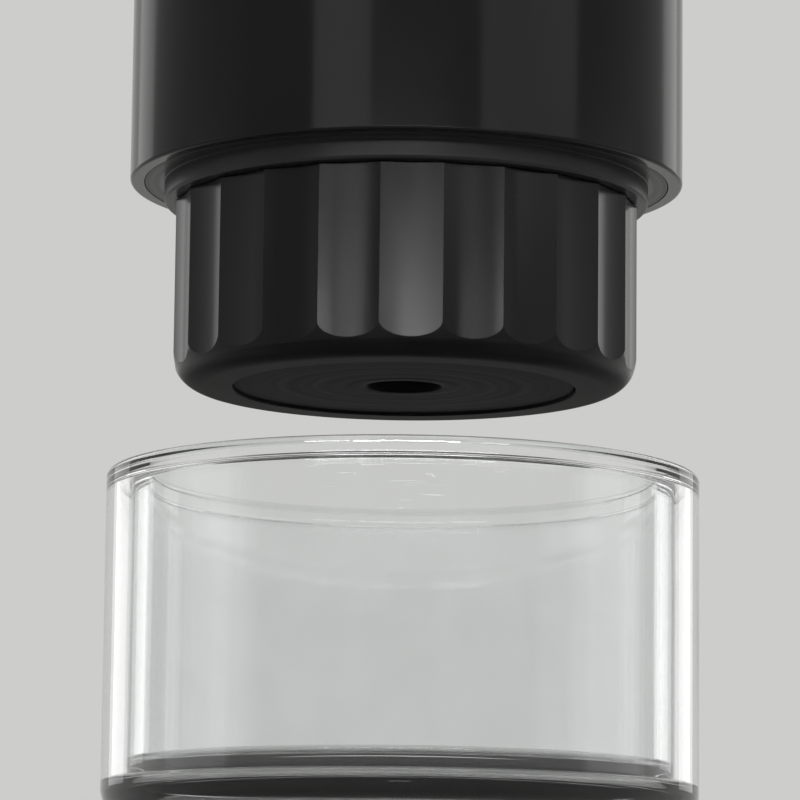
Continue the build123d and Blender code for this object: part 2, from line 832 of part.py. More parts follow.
# Portafilter grip: a turned ring cut by shallow flutes, which run out in scallops on its foot
ridges = [(grip_radius * cos(radians(angle)), grip_radius * sin(radians(angle)))
          for angle in ridge_angles]
with BuildPart() as portafilter_grip:
    turned(
        (disc_radius, grip_bottom),
        (grip_radius, grip_bottom, grip_round),
        (grip_radius, grip_top),
        (grip_neck_radius, grip_top),
        (grip_neck_radius, grip_neck_top),
        (grip_bore, grip_neck_top),
        (grip_bore, grip_floor_top),
        (disc_radius, grip_floor_top),
    )
    with BuildSketch(Plane.XY.offset(grip_bottom)) as flutes:
        with BuildLine():
            for ridge, next_ridge in zip(ridges, ridges[1:] + ridges[:1]):
                SagittaArc(ridge, next_ridge, flute_depth)
        make_face()
    extrude(flutes.sketch, amount=grip_neck_top - grip_bottom, mode=Mode.INTERSECT)

# Portafilter base: a disc with the funnel and the outlet, dropped in from above
with BuildPart() as portafilter_base:
    turned(
        (outlet_radius, disc_under),
        (disc_radius - press_gap, disc_under),
        (disc_radius - press_gap, grip_floor_top),
        (grip_bore - press_gap, grip_floor_top),
        (grip_bore - press_gap, disc_top),
        (outlet_radius, disc_top - funnel_rise),
    )

# Filter basket: a tapered steel cup that hangs by its rim in the portafilter's neck
with BuildPart() as filter_basket:
    turned(
        (0, basket_floor),
        (basket_foot_radius, basket_floor, 2 * basket_wall),
        (basket_radius, grip_neck_top),
        (grip_neck_radius, grip_neck_top),
        (grip_neck_radius, basket_top),
        (basket_radius - basket_wall, basket_top),
        (basket_foot_radius - basket_wall, basket_floor + basket_wall, basket_wall),
        (0, basket_floor + basket_wall),
    )
    rings_of_holes(basket_hole, basket_pitch, basket_rings, basket_floor,
                   basket_floor + basket_wall)

# Lid: an outer cap, and an insert with its seal that pivots under the cap's roof
with BuildPart() as lid_cap:
    turned(
        (0, lid_top - lid_dish_depth),
        (lid_dish_radius, lid_top - lid_dish_depth),
        (lid_dish_radius + lid_dish_depth, lid_top),
        (body_radius, lid_top, lid_round),
        (body_radius, lid_bottom, shell_round),
        (lid_bore, lid_bottom),
        (lid_bore, lid_ceiling),
        (pivot_radius + running_gap, lid_ceiling),
        (pivot_radius + running_gap, lid_ceiling + pivot_height),
        (0, lid_ceiling + pivot_height),
    )

with BuildPart() as lid_insert:
    turned(
        (0, lid_seal_top),
        (insert_radius, lid_seal_top),
        (insert_radius, insert_top),
        (pivot_radius, insert_top),
        (pivot_radius, insert_top + pivot_height),
        (0, insert_top + pivot_height),
    )

with BuildPart() as lid_seal:
    band(lid_seal_inner, lid_seal_outer, lid_seal_bottom, lid_seal_top)

# Cup: an outer wall with a thick base, and an inner wall whose rim closes the space between
with BuildPart() as cup_outer:
    turned(
        (0, cup_bottom + cup_foot_recess),
        (cup_foot_inner, cup_bottom + cup_foot_recess),
        (cup_foot_inner + cup_foot_recess, cup_bottom),
        (cup_radius, cup_bottom, cup_base_round),
        (cup_radius, cup_rim - cup_rim_height),
        (cup_radius - cup_outer_wall, cup_rim - cup_rim_height),
        (cup_radius - cup_outer_wall, cup_base_top, cup_base_round - cup_outer_wall),
        (0, cup_base_top),
    )
    band(0, gate_radius, cup_bottom + cup_foot_recess / 2, cup_base_top)

with BuildPart() as cup_inner:
    turned(
        (0, cup_floor_low),
        (cup_liner_radius, cup_floor_low, cup_floor),
        (cup_liner_radius, cup_rim - cup_rim_height),
        (cup_radius, cup_rim - cup_rim_height),
        (cup_radius, cup_rim, cup_rim_round),
        (cup_bore, cup_rim, cup_rim_round),
        (cup_bore, cup_floor_top),
        (0, cup_floor_top),
    )

pieces = {
    "body_shell": body_shell,
    "neck_ring": neck_ring,
    "water_tank": water_tank,
    "tank_wrap": tank_wrap,
    "heater_plate": heater_plate,
    "heater_element": heater_element,
    "thermostat": thermostat,
    "thermistor": thermistor,
    "tank_outlet": tank_outlet,
    "inlet_hose": inlet_hose,
    "cell_holder_top": cell_holder_top,
    "cell_holder_bottom": cell_holder_bottom,
    "cell_tabs": cell_tabs,
    "tie_rods": tie_rods,
    "pump_inlet": pump_inlet,
    "pump_guide_tube": pump_guide_tube,
    "coil_bobbin": coil_bobbin,
    "coil_winding": coil_winding,
    "pump_yoke": pump_yoke,
    "pump_plunger": pump_plunger,
    "plunger_spring": plunger_spring,
    "buffer_washer": buffer_washer,
    "pump_head": pump_head,
    "valve_poppet": valve_poppet,
    "valve_spring": valve_spring,
    "pump_outlet": pump_outlet,
    "pump_mount_top": pump_mount_top,
    "pump_mount_bottom": pump_mount_bottom,
    "main_board": main_board,
    "board_components": board_components,
    "tact_switch": tact_switch,
    "switch_plunger": switch_plunger,
    "button_light_ring": button_light_ring,
    "power_button": power_button,
    "port_frame": port_frame,
    "charging_board": charging_board,
    "usb_socket": usb_socket,
    "port_cover": port_cover,
    "group_plate": group_plate,
    "brew_inlet": brew_inlet,
    "outlet_hose": outlet_hose,
    "group_seal": group_seal,
    "shower_screen": shower_screen,
    "brew_collar": brew_collar,
    "collar_screws": collar_screws,
    "portafilter_grip": portafilter_grip,
    "portafilter_base": portafilter_base,
    "filter_basket": filter_basket,
    "lid_cap": lid_cap,
    "lid_insert": lid_insert,
    "lid_seal": lid_seal,
    "cup_outer": cup_outer,
    "cup_inner": cup_inner,
    **cells,
}

os.makedirs("parts", exist_ok=True)
for piece_name, piece in pieces.items():
    piece.part.label = piece_name
    export_step(piece.part, f"parts/{piece_name}.step")

tank_volume = pi * tank_bore ** 2 * (shell_top - tank_floor) / 1000
print(f"tank holds about {tank_volume:.0f} ml below the neck")
print(f"maker is {lid_top - grip_bottom:.1f} mm tall and {2 * body_radius:.1f} mm across")
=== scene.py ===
"""Looks of the portable espresso maker and its clear cup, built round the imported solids.

Pieces are given in millimetres, the floor, lamps and camera in metres, and angles in degrees.
"""

import json
import logging
import math
from dataclasses import dataclass
from enum import Enum
from typing import Iterable, Sequence

import bmesh
import bpy
from mathutils import Matrix, Vector


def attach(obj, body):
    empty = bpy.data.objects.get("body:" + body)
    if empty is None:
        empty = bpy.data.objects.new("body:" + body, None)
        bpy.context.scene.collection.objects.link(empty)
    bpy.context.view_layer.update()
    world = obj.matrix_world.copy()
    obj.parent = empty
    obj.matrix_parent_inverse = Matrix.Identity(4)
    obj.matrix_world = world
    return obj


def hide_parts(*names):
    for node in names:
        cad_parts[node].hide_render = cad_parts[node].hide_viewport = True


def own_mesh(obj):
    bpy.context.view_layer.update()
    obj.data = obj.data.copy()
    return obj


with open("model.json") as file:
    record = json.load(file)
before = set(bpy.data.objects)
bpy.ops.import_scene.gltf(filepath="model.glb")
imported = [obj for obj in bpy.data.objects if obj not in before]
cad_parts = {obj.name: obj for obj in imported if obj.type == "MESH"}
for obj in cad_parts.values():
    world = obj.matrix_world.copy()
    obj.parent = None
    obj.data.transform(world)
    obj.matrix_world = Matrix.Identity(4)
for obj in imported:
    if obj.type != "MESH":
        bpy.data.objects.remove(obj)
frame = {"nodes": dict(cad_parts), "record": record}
bpy.context.view_layer.update()

log = logging.getLogger("espresso_maker")

Point = tuple[float, float, float]
Colour = tuple[float, float, float]
Socket = bpy.types.NodeSocket
Mesh = bmesh.types.BMesh

MM = 0.001
# Steps in a whole turn, in a flute's arc, in a thread's ridge and in one turn of a coil.
TURN_STEPS = 224
CUP_STEPS = 256
DRUM_STEPS = 360
FLUTE_STEPS = 12
THREAD_STEPS = 48
COIL_STEPS = 28
WIRE_SIDES = 10
# Distances in metres within which the points of a mesh become one.
SPIN_MERGE = 1e-6
FLUTE_MERGE = 2e-6
CARVE_MERGE = 4e-6
COAT_ROUGHNESS = 0.12
# Length after which Blender's wave texture repeats at scale 1.
WAVE_SCALE = 0.314
# Spread in degrees of a lamp that shines all over its front.
FULL_SPREAD = 180.0


class Grain(Enum):
    """Kinds of surface detail, each named after the method of FinishBoard that makes it."""

    SATIN = "satin"
    MOULDED = "moulded"
    TURNED = "turned"
    DRAWN = "drawn"
    CAST = "cast"
    RUBBER = "rubber"
    FELT = "felt"
    WOUND = "wound"
    LAMINATE = "laminate"
    FILM = "film"
    CLEAR = "clear"


class Cut(Enum):
    """Ways to carve one closed mesh with another."""

    TAKE_AWAY = "DIFFERENCE"
    KEEP_COMMON = "INTERSECT"


class NodeBoard:
    """A node tree, with short ways to add and join its nodes."""

    def __init__(self, holder: bpy.types.Material | bpy.types.World, output: str) -> None:
        """Clear the tree of a material or a world and add its output.

        Args:
            holder: The material or the world.
            output: Blender's name for the output node.
        """
        holder.use_nodes = True
        self.tree = holder.node_tree
        self.tree.nodes.clear()
        self.result = self.add(output).inputs["Surface"]

    def add(self, kind: str, inputs: dict[str | int, object] | None = None,
            **settings: object) -> bpy.types.Node:
        """Add a node.

        Args:
            kind: Blender's name for the node type.
            inputs: For each input, by name or number, the socket to link or the value to set.
            **settings: Properties to set on it.

        Returns:
            The new node.
        """
        node = self.tree.nodes.new(kind)
        for key, value in settings.items():
            setattr(node, key, value)
        for key, value in (inputs or {}).items():
            if isinstance(value, Socket):
                self.join(value, node.inputs[key])
            else:
                node.inputs[key].default_value = value
        return node

    def join(self, source: Socket, target: Socket) -> None:
        """Link an output to an input."""
        self.tree.links.new(source, target)

    def math(self, operation: str, first: object, second: object = 0.0) -> Socket:
        """Work out one number from two, each a socket or a number."""
        return self.add("ShaderNodeMath", {0: first, 1: second}, operation=operation).outputs[0]

    def glow(self, kind: str, colour: Colour, strength: float) -> Socket:
        """Add an even light, as an emission or a background."""
        return self.add(kind, {"Color": (*colour, 1.0), "Strength": strength}).outputs[0]

    def chosen(self, share: Socket, first: Socket, second: Socket) -> Socket:
        """Mix two shaders by the share of the second one."""
        return self.add("ShaderNodeMixShader", {0: share, 1: first, 2: second}).outputs[0]

    def seen(self) -> Socket:
        """Tell the rays that show a thing from the rays that only light.

        Returns:
            A socket that is 1 for camera, glossy and transmission rays, and 0 for others.
        """
        path = self.add("ShaderNodeLightPath").outputs
        bent = self.math("MAXIMUM", path["Is Glossy Ray"], path["Is Transmission Ray"])
        return self.math("MAXIMUM", path["Is Camera Ray"], bent)


class SurfaceBoard(NodeBoard):
    """The node tree of one material, with its Principled surface and its patterns."""

    def __init__(self, name: str, values: dict[str, float]) -> None:
        """Start a material with a Principled surface.

        Args:
            name: Name of the material.
            values: The surface's even values, by the input's name.
        """
        self.material = bpy.data.materials.new(name)
        super().__init__(self.material, "ShaderNodeOutputMaterial")
        self.surface = self.add("ShaderNodeBsdfPrincipled", values)
        self.join(self.surface.outputs["BSDF"], self.result)
        self.place = self.add("ShaderNodeTexCoord").outputs["Object"]
        self.normal: Socket | None = None

    def split(self) -> bpy.types.bpy_prop_collection:
        """Split the place into the sockets X, Y and Z."""
        return self.add("ShaderNodeSeparateXYZ", {0: self.place}).outputs

    def stretched(self, scale: Point) -> Socket:
        """Scale the object's own coordinates along X, Y and Z."""
        return self.add("ShaderNodeMapping", {"Scale": scale, "Vector": self.place}).outputs[0]

    def noise(self, size: float, detail: float = 2.0, roughness: float = 0.5,
              place: Socket | None = None) -> Socket:
        """Add a noise pattern.

        Args:
            size: Size of its patches in millimetres.
            detail: Number of finer octaves.
            roughness: Strength of the finer octaves.
            place: Coordinates to read, or the object's own where None.

        Returns:
            The pattern's socket, 0 to 1.
        """
        return self.add("ShaderNodeTexNoise", {
            "Scale": 1.0 / (size * MM), "Detail": detail, "Roughness": roughness,
            "Vector": place or self.place,
        }).outputs["Fac"]

    def between(self, pattern: Socket, low: float, high: float,
                start: float = 0.3, stop: float = 0.7) -> Socket:
        """Map a pattern onto a range.

        Args:
            pattern: Socket of the pattern.
            low: Value at start.
            high: Value at stop.
            start: Pattern value that gives low.
            stop: Pattern value that gives high.

        Returns:
            The mapped socket.
        """
        return self.add("ShaderNodeMapRange", {
            "Value": pattern, "From Min": start, "From Max": stop, "To Min": low, "To Max": high,
        }, clamp=True).outputs["Result"]

    def mixed(self, share: Socket, first: Socket | Colour, second: Socket | Colour) -> Socket:
        """Mix two colours.

        Args:
            share: Socket with the share of the second colour.
            first: A colour or a colour socket.
            second: A colour or a colour socket.

        Returns:
            The mixed colour's socket.
        """
        first, second = (value if isinstance(value, Socket) else (*value, 1.0)
                         for value in (first, second))
        # Inputs 6 and 7 and output 2 of this node are its colours.
        return self.add("ShaderNodeMix", {0: share, 6: first, 7: second},
                        data_type="RGBA").outputs[2]

    def toned(self, colour: Colour, tone: float, pattern: Socket) -> Socket:
        """Let a colour drift by a share of itself with a pattern."""
        return self.mixed(self.between(pattern, 0.0, 1.0),
                          scaled(colour, 1 - tone), scaled(colour, 1 + tone))

    def emboss(self, height: Socket, depth: float) -> None:
        """Add a height pattern to the surface's normal.

        Args:
            height: Socket of the pattern, 0 to 1.
            depth: Height of the relief in millimetres.
        """
        node = self.add("ShaderNodeBump",
                        {"Strength": 1.0, "Distance": depth * MM, "Height": height})
        if self.normal is not None:
            self.join(self.normal, node.inputs["Normal"])
        self.normal = node.outputs["Normal"]

    def done(self) -> bpy.types.Material:
        """Join the last normal to the surface.

        Returns:
            The finished material.
        """
        if self.normal is not None:
            self.join(self.normal, self.surface.inputs["Normal"])
        return self.material


def scaled(colour: Colour, factor: float) -> Colour:
    """Make a colour lighter or darker by a factor, within 0 to 1."""
    red, green, blue = (min(1.0, part * factor) for part in colour)
    return red, green, blue


@dataclass(frozen=True)
class Finish:
    """One finish of the maker: its colour, gloss and the grain of its surface.

    dull_foot holds two heights in millimetres and the roughness that the surface reaches from
    the upper to the lower one, where the mould is blasted.
    """

    name: str
    slot: str
    colour: Colour
    roughness: float
    grain: Grain
    grain_size: float
    grain_depth: float
    tone: float
    polish: float
    metallic: float = 0.0
    ior: float = 1.47
    shine: float = 0.5
    coat: float = 0.0
    sheen: float = 0.0
    transmission: float = 0.0
    # Second colour: lighter tracks on a board, or painted shade in the grooves of a winding.
    accent: Colour = (0.0, 0.0, 0.0)
    dull_foot: tuple[float, float, float] | None = None

    def material(self) -> bpy.types.Material:
        """Make the material, or return it where it has been made before."""
        return bpy.data.materials.get(self.name) or FinishBoard(self).done()


class FinishBoard(SurfaceBoard):
    """The node tree of one finish, whose colour and roughness follow its grain."""

    colour: Socket
    rough: Socket

    def __init__(self, finish: Finish) -> None:
        """Make the material of a finish.

        Args:
            finish: The finish to make.
        """
        super().__init__(finish.name, {
            "Metallic": finish.metallic, "IOR": finish.ior, "Specular IOR Level": finish.shine,
            "Transmission Weight": finish.transmission, "Coat Weight": finish.coat,
            "Coat Roughness": COAT_ROUGHNESS, "Sheen Weight": finish.sheen,
        })
        self.finish, self.size, self.depth = finish, finish.grain_size, finish.grain_depth
        getattr(self, f"_{finish.grain.value}")()
        if finish.dull_foot is not None:
            low, high, dull = finish.dull_foot
            foot = self.between(self.split()["Z"], dull, 0.0, low * MM, high * MM)
            self.rough = self.math("MAXIMUM", self.rough, foot)
        self.join(self.colour, self.surface.inputs["Base Color"])
        self.join(self.rough, self.surface.inputs["Roughness"])

    def _tone(self, pattern: Socket) -> None:
        """Let the finish's colour drift with a pattern."""
        self.colour = self.toned(self.finish.colour, self.finish.tone, pattern)

    def _polish(self, pattern: Socket) -> None:
        """Let the finish's roughness drift with a pattern."""
        middle, reach = self.finish.roughness, self.finish.polish
        self.rough = self.between(pattern, middle - reach, middle + reach)

    def _satin(self) -> None:
        """Fine paint: a tiny grain, a faint long ripple, dust and soft smudges from hands."""
        self._polish(self.noise(14.0, 4.0, 0.6, self.stretched((1.0, 1.0, 0.45))))
        fine = self.between(self.noise(self.size, 1.0), -0.015, 0.015)
        self.rough = self.math("ADD", self.rough, fine)
        self.emboss(self.noise(9.0, 1.0), 6 * self.depth)
        self.emboss(self.noise(self.size, 2.0), self.depth)
        self._tone(self.noise(22.0, 3.0))
        cells = self.add("ShaderNodeTexVoronoi",
                         {"Scale": 1.0 / (2.6 * MM), "Vector": self.place}, feature="F1")
        dust = self.math("LESS_THAN", cells.outputs["Distance"], 0.035)
        self.colour = self.mixed(dust, self.colour, scaled(self.finish.colour, 3.0))

    def _moulded(self) -> None:
        """Mould texture: round grains of two sizes, with flow marks in the gloss."""
        flow = self.noise(6.0, 3.0, 0.6, self.stretched((1.0, 1.0, 0.3)))
        self.emboss(self.noise(4 * self.size, 1.0), self.depth)
        self.emboss(self.noise(self.size, 2.0, 0.6), self.depth)
        self._tone(flow)
        self._polish(flow)

    def _turned(self) -> None:
        """Lathe rings: fine lines round the axis that drift in depth and gloss."""
        parts = self.split()
        across, deep = (self.math("POWER", parts[axis], 2.0) for axis in "XY")
        radius = self.math("SQRT", self.math("ADD", across, deep))
        rings = self.add("ShaderNodeCombineXYZ", {"X": radius, "Z": parts["Z"]}).outputs[0]
        self.emboss(self.noise(self.size, 3.0, 0.6, rings), self.depth)
        self.emboss(self.noise(0.12, 1.0), 0.3 * self.depth)
        self._tone(self.noise(5.0, 3.0))
        self._polish(self.noise(3 * self.size, 2.0, 0.5, rings))

    def _drawn(self) -> None:
        """Drawn metal: long fine lines along the axis, with a few deeper scores."""
        lines = self.noise(self.size, 3.0, 0.7, self.stretched((1.0, 1.0, 0.03)))
        scores = self.noise(1.4, 2.0, 0.5, self.stretched((1.0, 1.0, 0.02)))
        self.emboss(lines, self.depth)
        self.emboss(self.between(scores, 0.0, 1.0, 0.62, 0.66), self.depth)
        self._tone(scores)
        self._polish(lines)

    def _cast(self) -> None:
        """Cast or blasted metal: rounded pits, with painted shade that darkens their bottoms."""
        pits = self.noise(self.size, 3.0, 0.6)
        self.emboss(pits, self.depth)
        # Painted shade: the colour follows the pits and is darker where they are deepest.
        self._tone(pits)
        self._polish(self.noise(3.0, 3.0))

    def _rubber(self) -> None:
        """Rubber: a dull even grain with a pale bloom in patches."""
        bloom = self.noise(5.0, 4.0, 0.65)
        self.emboss(self.noise(self.size, 2.0), self.depth)
        colour = self.finish.colour
        self.colour = self.mixed(self.between(bloom, 0.0, 0.35, 0.55, 0.75), colour,
                                 scaled(colour, 1.0 + 4 * self.finish.tone))
        self._polish(bloom)

    def _felt(self) -> None:
        """Felt: crossed fibres of two directions over a soft matted ground."""
        fibres, crossed = (self.noise(self.size, 4.0, 0.8, self.stretched(scale))
                           for scale in ((1.0, 1.0, 0.2), (0.25, 0.25, 1.0)))
        mat = self.math("MAXIMUM", fibres, crossed)
        self.emboss(self.noise(2.5, 2.0), 4 * self.depth)
        self.emboss(mat, self.depth)
        self._tone(mat)
        self._polish(mat)

    def _wound(self) -> None:
        """Wound wire: one ridge for each turn, with painted shade in the grooves between the turns.
        """
        turns = self.add("ShaderNodeTexWave", {
            "Scale": WAVE_SCALE / (self.size * MM), "Vector": self.place,
        }, bands_direction="Z", wave_profile="SIN").outputs["Fac"]
        self.emboss(turns, self.depth)
        self._tone(self.noise(4.0, 2.0))
        # Painted shade: the second colour darkens the grooves between the turns, where the wave is
        # lowest.
        share = self.between(turns, 0.0, 1.0, 0.0, 0.5)
        self.colour = self.mixed(share, self.finish.accent, self.colour)
        self._polish(self.noise(1.2, 2.0))

    def _laminate(self) -> None:
        """Circuit board: raised tracks under the lacquer, and the weave of the glass cloth."""
        upright = self.add("ShaderNodeMapping", {
            "Rotation": (math.radians(90), 0.0, 0.0), "Vector": self.place,
        }).outputs[0]
        line = self.add("ShaderNodeTexBrick", {
            "Scale": 1.0 / (4.5 * MM), "Mortar Size": 0.06, "Mortar Smooth": 0.4,
            "Vector": upright,
        }, offset=0.35, squash=1.8, squash_frequency=3).outputs["Fac"]
        self.emboss(line, self.depth)
        self.emboss(self.noise(self.size, 1.0), 0.3 * self.depth)
        self._tone(self.noise(3.0, 3.0))
        self.colour = self.mixed(line, self.colour, self.finish.accent)
        self._polish(self.noise(2.0, 2.0))

    def _film(self) -> None:
        """Shrink film: long soft wrinkles and a clear gloss that varies."""
        wrinkles = self.noise(3.0, 3.0, 0.55, self.stretched((1.0, 1.0, 0.25)))
        self.emboss(wrinkles, 6 * self.depth)
        self.emboss(self.noise(self.size, 2.0), self.depth)
        self._tone(wrinkles)
        self._polish(wrinkles)

    def _clear(self) -> None:
        """Clear plastic: long flow waves, a faint haze and hairline scratches."""
        waves = self.noise(self.size, 2.0, 0.5, self.stretched((1.0, 1.0, 0.35)))
        self.emboss(waves, self.depth)
        hairs = self.noise(0.5, 2.0, 0.6, self.stretched((0.06, 0.06, 1.0)))
        self.emboss(self.between(hairs, 0.0, 1.0, 0.68, 0.72), 0.0005)
        haze = self.noise(11.0, 3.0, 0.6)
        self._tone(haze)
        self._polish(haze)


# Name, slot, colour, roughness, grain with size and depth, drift of colour and of roughness.
FINISHES: dict[str, Finish] = {made.slot: made for made in (
    Finish("satin_black_shell", "shell_black", (0.005, 0.005, 0.0052), 0.13, Grain.SATIN,
           0.16, 0.0006, 0.12, 0.03, shine=0.13),
    Finish("satin_grey_collar", "collar_grey", (0.017, 0.017, 0.0173), 0.32, Grain.TURNED,
           0.22, 0.0008, 0.08, 0.05, shine=0.12),
    Finish("polished_black_grip", "grip_black", (0.005, 0.005, 0.0052), 0.17, Grain.MOULDED,
           0.22, 0.0005, 0.15, 0.035, shine=0.15, dull_foot=(-110.8, -109.0, 0.62)),
    Finish("satin_black_base", "underside_black", (0.005, 0.005, 0.0052), 0.62, Grain.TURNED,
           0.5, 0.0012, 0.12, 0.04, shine=0.06),
    Finish("gloss_black_button", "button_black", (0.012, 0.012, 0.0125), 0.2, Grain.MOULDED,
           0.25, 0.0006, 0.1, 0.04, coat=0.3),
    Finish("milky_light_ring", "light_ring", (0.72, 0.73, 0.72), 0.28, Grain.MOULDED,
           0.3, 0.0008, 0.05, 0.05),
    Finish("clear_tritan", "cup_clear", (0.965, 0.972, 0.972), 0.02, Grain.CLEAR,
           9.0, 0.008, 0.015, 0.012, ior=1.5, transmission=1.0),
    Finish("drawn_steel", "steel", (0.58, 0.57, 0.55), 0.28, Grain.DRAWN,
           0.14, 0.0012, 0.08, 0.07, metallic=1.0),
    Finish("plain_steel", "screw_steel", (0.5, 0.5, 0.49), 0.34, Grain.TURNED,
           0.12, 0.0012, 0.1, 0.08, metallic=1.0),
    Finish("zinc_yoke", "yoke_steel", (0.47, 0.48, 0.5), 0.42, Grain.CAST,
           0.7, 0.002, 0.16, 0.1, metallic=1.0),
    Finish("cast_aluminium", "heater_aluminium", (0.66, 0.66, 0.67), 0.46, Grain.CAST,
           0.5, 0.006, 0.12, 0.08, metallic=1.0),
    Finish("turned_brass", "brass", (0.72, 0.55, 0.27), 0.27, Grain.TURNED,
           0.12, 0.0015, 0.08, 0.06, metallic=1.0),
    Finish("nickel_strip", "tab_nickel", (0.63, 0.61, 0.56), 0.3, Grain.DRAWN,
           0.1, 0.001, 0.1, 0.06, metallic=1.0),
    Finish("moulded_black_frame", "frame_black", (0.022, 0.022, 0.023), 0.5, Grain.MOULDED,
           0.25, 0.003, 0.14, 0.08),
    Finish("grey_silicone", "seal_silicone", (0.5, 0.5, 0.49), 0.55, Grain.RUBBER,
           0.2, 0.002, 0.08, 0.07),
    Finish("milky_hose", "hose_silicone", (0.72, 0.72, 0.69), 0.42, Grain.RUBBER,
           0.25, 0.002, 0.06, 0.08),
    Finish("black_rubber", "rubber_black", (0.007, 0.007, 0.007), 0.55, Grain.RUBBER,
           0.18, 0.003, 0.12, 0.06, shine=0.22),
    Finish("grey_felt", "tank_felt", (0.3, 0.3, 0.31), 0.9, Grain.FELT,
           0.35, 0.05, 0.35, 0.05, sheen=0.4),
    Finish("moulded_white_bobbin", "bobbin_white", (0.76, 0.76, 0.73), 0.45, Grain.MOULDED,
           0.25, 0.002, 0.05, 0.06),
    # The winding's second colour is painted shade for the grooves between its turns.
    Finish("enamelled_wire", "winding_copper", (0.55, 0.22, 0.09), 0.3, Grain.WOUND,
           0.35, 0.08, 0.14, 0.06, metallic=1.0, accent=(0.08, 0.03, 0.015)),
    Finish("blue_cell_wrap", "cell_blue", (0.035, 0.12, 0.34), 0.32, Grain.FILM,
           0.3, 0.002, 0.12, 0.07, coat=0.3),
    Finish("green_lacquered_board", "board_green", (0.02, 0.13, 0.06), 0.34, Grain.LAMINATE,
           0.35, 0.012, 0.16, 0.07, accent=(0.04, 0.22, 0.11)),
    Finish("moulded_chip_black", "component_black", (0.02, 0.02, 0.021), 0.48, Grain.MOULDED,
           0.12, 0.003, 0.2, 0.08),
)}


@dataclass(frozen=True)
class Corner:
    """One corner of a turned outline, in millimetres, rounded by so many steps."""

    radius: float
    height: float
    fillet: float = 0.0
    steps: int = 7


def shift(mesh: Mesh, across: float, along: float, up: float) -> None:
    """Move a mesh by three distances in millimetres."""
    bmesh.ops.translate(mesh, verts=mesh.verts[:], vec=(across * MM, along * MM, up * MM))


def turn(mesh: Mesh, angle: float, axis: str = "Z") -> None:
    """Turn a mesh about an axis through the origin, by an angle in radians."""
    bmesh.ops.rotate(mesh, verts=mesh.verts[:], cent=(0, 0, 0),
                     matrix=Matrix.Rotation(angle, 3, axis))


def spin(mesh: Mesh, angle: float, steps: int, rise: float = 0.0, copies: bool = False) -> None:
    """Sweep a wire outline about Z into faces, or copy a mesh about Z.

    Args:
        mesh: Mesh to work on.
        angle: Whole angle in radians.
        steps: Number of steps in it.
        rise: Climb of each step in metres.
        copies: True for copies of the mesh at each step.
    """
    bmesh.ops.spin(mesh, geom=mesh.verts[:] + mesh.edges[:] + mesh.faces[:], cent=(0, 0, 0),
                   axis=(0, 0, 1), dvec=(0, 0, rise), angle=angle, steps=steps,
                   use_duplicate=copies)


def close_ends(mesh: Mesh, sides: int) -> None:
    """Close the open ends of a swept section of so many sides, and point all faces outwards."""
    bmesh.ops.holes_fill(mesh, edges=[edge for edge in mesh.edges if edge.is_boundary], sides=sides)
    bmesh.ops.recalc_face_normals(mesh, faces=mesh.faces[:])


def turned(corners: Sequence[Corner], steps: int = TURN_STEPS, hollow: bool = False) -> Mesh:
    """Spin an outline about Z into a closed mesh.

    Args:
        corners: Corners in order. Where both ends lie on the axis, the outline stays open there.
        steps: Number of faces round the axis.
        hollow: True for the wall of a void, whose faces point into the void.

    Returns:
        The closed mesh.
    """
    mesh = bmesh.new()
    verts = [mesh.verts.new((c.radius * MM, 0.0, c.height * MM)) for c in corners]
    for start, end in zip(verts, verts[1:]):
        mesh.edges.new((start, end))
    if corners[0].radius > 0 or corners[-1].radius > 0:
        mesh.edges.new((verts[-1], verts[0]))
    for vert, corner in zip(verts, corners):
        if corner.fillet:
            first, second = (edge.other_vert(vert).co - vert.co for edge in vert.link_edges)
            reach = corner.fillet * MM / math.tan(first.angle(second) / 2)
            bmesh.ops.bevel(mesh, geom=[vert], offset=reach, offset_type="OFFSET",
                            segments=corner.steps, profile=0.5, affect="VERTICES", material=-1)
    bmesh.ops.spin(mesh, geom=mesh.verts[:] + mesh.edges[:], cent=(0, 0, 0), axis=(0, 0, 1),
                   angle=math.tau, steps=steps, use_merge=True)
    bmesh.ops.remove_doubles(mesh, verts=mesh.verts[:], dist=SPIN_MERGE)
    bmesh.ops.recalc_face_normals(mesh, faces=mesh.faces[:])
    if hollow:
        bmesh.ops.reverse_faces(mesh, faces=mesh.faces[:])
    return mesh


def stored(name: str, mesh: Mesh) -> bpy.types.Mesh:
    """Move a mesh into a data block of its own.

    Args:
        name: Name of the data block.
        mesh: The mesh. It is used up.

    Returns:
        The data block.
    """
    data = bpy.data.meshes.new(name)
    mesh.to_mesh(data)
    mesh.free()
    return data


def placed(name: str, data: bpy.types.ID) -> bpy.types.Object:
    """Put a new object into the scene, at the origin.

    Args:
        name: Name of the object.
        data: Its mesh, lamp or camera.

    Returns:
        The object.
    """
    made = bpy.data.objects.new(name, data)
    bpy.context.scene.collection.objects.link(made)
    return made


def merged(first: Mesh, second: Mesh) -> Mesh:
    """Put one mesh into another.

    Args:
        first: Mesh that takes in the other.
        second: Mesh to put in. It is used up.

    Returns:
        The first mesh.
    """
    carrier = stored("carrier", second)
    first.from_mesh(carrier)
    bpy.data.meshes.remove(carrier)
    return first


def carved(base: Mesh, tool: Mesh, cut: Cut) -> Mesh:
    """Carve a closed mesh with another.

    Args:
        base: Mesh to carve. It is used up.
        tool: Mesh to carve with. It is used up.
        cut: What to keep.

    Returns:
        The carved mesh.
    """
    blanks = [placed("blank", stored("blank", source)) for source in (base, tool)]
    carve = blanks[0].modifiers.new("carve", "BOOLEAN")
    carve.operation, carve.object, carve.solver = cut.value, blanks[1], "EXACT"
    mesh = bmesh.new()
    mesh.from_object(blanks[0], bpy.context.evaluated_depsgraph_get())
    # A mesh that is removed takes its object along.
    for blank in blanks:
        bpy.data.meshes.remove(blank.data)
    bmesh.ops.remove_doubles(mesh, verts=mesh.verts[:], dist=CARVE_MERGE)
    return mesh


